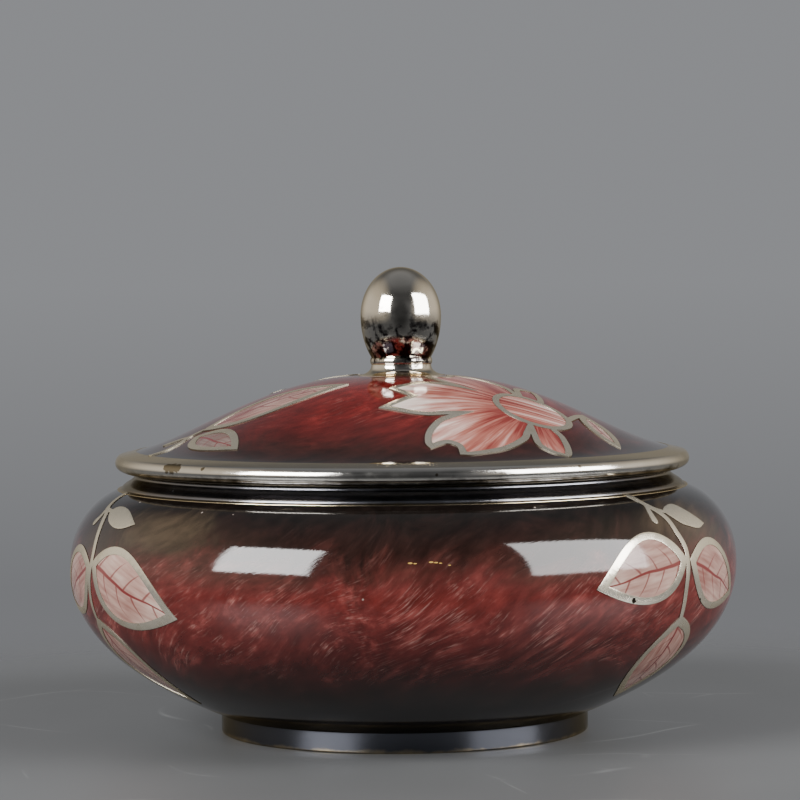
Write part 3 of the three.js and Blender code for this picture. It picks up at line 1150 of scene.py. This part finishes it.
# Ornament of the lid, in plan: a flower with its leaf to the right, two leaves to the left
FLOWER_AT = Vector((31.3, -27.5))
FLOWER_WAY = Vector((-0.992, -0.128))
FLOWER_SIDE = Vector((0.128, -0.992))
HEART_RADIUS = 8.0
HEART_RING = 1.6
HEART_TONE = 0.49
HEART_FADE = 0.012
HEART_TURN = 9.0
HEART_STREAKS = 0.08
PETAL_BAND = 1.6
FAR_PETALS = 0.8
PETAL_REACH = 37.0
SIDE_PETAL_LESS = 6.0


def flower_spot(u, v, *corner):
    spot = FLOWER_AT + FLOWER_WAY * u + FLOWER_SIDE * v
    return (spot.x, spot.y, *corner)


def petal_map(spot):
    """Share of the way out from the flower's heart, and the turn round it.

    The share grows up to half as fast on the side petals, so that they stay rosier.
    """
    away = spot - FLOWER_AT
    turn = math.atan2(away.dot(FLOWER_SIDE), away.dot(FLOWER_WAY))
    reach = PETAL_REACH - SIDE_PETAL_LESS * abs(turn)
    aside = min(max(abs(turn) - 0.3, 0.0) * 2, 1.0)
    return away.length / reach * (1 - 0.5 * aside), turn


def heart_map(spot):
    """Place on the heart, brushed straight across it and rosier towards the petals."""
    away = spot - FLOWER_AT
    return (HEART_TONE - HEART_FADE * away.dot(FLOWER_WAY),
            HEART_TURN + HEART_STREAKS * away.dot(FLOWER_SIDE))


def lid_drawing():
    big = [(18.8, -9.2, 0), (24.5, -10.5), (31.7, -7.4), (34, -5.4, 0), (29.9, 0.2, 0),
           (37.8, 5.5, 0), (31.6, 9.3), (27.0, 10.9), (21.5, 10.3, 0)]
    front = [(25, 13), (28.2, 18.4), (29.2, 23.5), (28.3, 26.4, 0), (24.3, 24), (22.1, 25.4),
             (21.9, 29.6, 0), (18.1, 29.3), (10.4, 25.4), (4.7, 19), (2.9, 14.6, 0)]
    last = [(2.5, 20.2), (-0.5, 23.9), (-4.2, 25.5, 0), (-5.3, 23.4), (-5.9, 18.1), (-5.6, 12.2),
            (-4.3, 9.0, 0)]
    far = [(u * FAR_PETALS, -v * FAR_PETALS, *corner)
           for u, v, *corner in reversed(front + last)]
    petals = spline([flower_spot(*knot) for knot in big + front + last + far], closed=True)

    drawing = Drawing()
    drawing.lay(stroke([(38.5, -29), (40.4, -24), (42.5, -18), (44.3, -14)], 1.5, 1.3), SILVER)
    drawing.leaf((44, -13), (52, -34), 3.2, 3.6)
    drawing.lay(petals, SILVER)
    drawing.paint(inset(petals, PETAL_BAND), petal_map, PETAL)
    drawing.lay(circle(FLOWER_AT, HEART_RADIUS + HEART_RING), SILVER)
    drawing.paint(circle(FLOWER_AT, HEART_RADIUS), heart_map, PETAL)
    drawing.lay(stroke([(-48.0, -17.4), (-51.4, -18.2), (-53.8, -21.2), (-56.8, -24.2),
                        (-60.3, -25.4)], 1.5, 1.5), SILVER)
    drawing.lay(stroke([(-51.6, -18.6), (-54.2, -16.4), (-57.4, -15.4)], 1.0, 1.8), SILVER)
    drawing.leaf((-48.4, -17.8), (-12.8, -19.0), 7.0, 8.6)
    drawing.leaf((-49.9, -21.5), (-38.7, -44.2), 4.9, 5.2, enamel=DUSKY_LEAF)
    return drawing


lid_paints = [leaf_paint, petal_paint, dusky_paint]
drawn = lid_drawing()
for side, turn in (("front", 0.0), ("back", 180.0)):
    place = on_lid(turn)
    ornament.append((silver_overlay(f"lid_{side}_silver", drawn, place, LEAF_SILVERS), "lid"))
    ornament.append((painted_panels(f"lid_{side}_enamel", drawn, place, lid_paints), "lid"))


# Studio: board, two softboxes in front, and a grey room

def make_board():
    bm = bmesh.new()
    bmesh.ops.create_circle(bm, cap_ends=True, segments=96, radius=BOARD_RADIUS / MM)
    return finish_mesh("board", bm, [painted_board()])


def softbox(name, centre, facing, width, height, watts):
    data = bpy.data.lights.new(name, "AREA")
    data.shape = "RECTANGLE"
    data.size, data.size_y = width, height
    data.energy = watts
    lamp = bpy.data.objects.new(name, data)
    bpy.context.scene.collection.objects.link(lamp)
    turn = Vector(facing).to_track_quat("-Z", "Y").to_matrix()
    lamp.matrix_world = Matrix.LocRotScale(Vector(centre), turn, None)


# Brightness of the room: its wall behind the bowl, that wall below eye level, and in front
ROOM_BEHIND = 0.272
ROOM_LOW = 0.19
ROOM_FRONT = 0.12
ROOM_TINT = (0.98, 1.0, 1.05)
SIDE_LIGHT = (0.5, 0.43, 0.32)
DARK_WAY = (0.0, -0.995, 0.1)


def make_room():
    """Grey behind, warmer and brighter at the sides, and dark behind the camera."""
    world = bpy.data.worlds.new("room")
    world.use_nodes = True
    bpy.context.scene.world = world
    add = adder(world.node_tree)
    looking = add("TexCoord").outputs["Generated"]
    way = add("SeparateXYZ", {0: looking})
    level = add("MapRange", {0: way.outputs[2], 1: -0.095, 2: -0.005,
                             3: ROOM_LOW / ROOM_BEHIND, 4: 1.0}).outputs[0]
    tone = add("MapRange", {0: way.outputs[1], 1: -0.5, 2: 0.8, 3: ROOM_FRONT,
                            4: ROOM_BEHIND}).outputs[0]
    near_camera = add("VectorMath", {0: looking, 1: DARK_WAY}, operation="DOT_PRODUCT")
    dark = add("MapRange", {0: near_camera.outputs["Value"], 1: 0.86, 2: 0.99, 3: 1.0, 4: 0.35},
               interpolation_type="SMOOTHSTEP").outputs[0]
    ceiling = add("ValToRGB", {0: way.outputs[2]}, stops=[
        (0.34, "#ffffff"), (0.52, "#c2c2c2"), (0.7, "#b6b6b6"), (0.92, "#ffffff")]).outputs[0]
    for factor in (level, ceiling, dark):
        tone = add("Math", {0: tone, 1: factor}, operation="MULTIPLY").outputs[0]
    shade = add("VectorMath", {0: ROOM_TINT, "Scale": tone}, operation="SCALE").outputs[0]
    aside = add("Math", {0: way.outputs[0]}, operation="ABSOLUTE").outputs[0]
    aside = add("MapRange", {0: aside, 1: 0.4, 2: 0.9, 3: 0.0, 4: 1.0},
                interpolation_type="SMOOTHSTEP").outputs[0]
    above = add("MapRange", {0: way.outputs[2], 1: -0.15, 2: 0.1}).outputs[0]
    aside = add("Math", {0: aside, 1: above}, operation="MULTIPLY").outputs[0]
    warm = add("VectorMath", {0: SIDE_LIGHT, "Scale": aside}, operation="SCALE").outputs[0]
    shade = add("VectorMath", {0: shade, 1: warm}, operation="ADD").outputs[0]
    background = world.node_tree.nodes["Background"]
    world.node_tree.links.new(shade, background.inputs[0])
    background.inputs[1].default_value = 1.0


board = make_board()
softbox("softbox_left", centre=(-0.63, -0.545, 0.47), facing=(0.636, 0.771, -0.2),
        width=0.54, height=0.5, watts=17)
softbox("softbox_right", centre=(0.873, -0.279, 0.445), facing=(-0.6, 0.8, -0.2),
        width=0.93, height=0.61, watts=22)
make_room()

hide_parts("bowl")
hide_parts("lid")
for piece in (bowl, lid):
    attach(piece, "root")
for piece, body in ornament:
    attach(piece, "root")
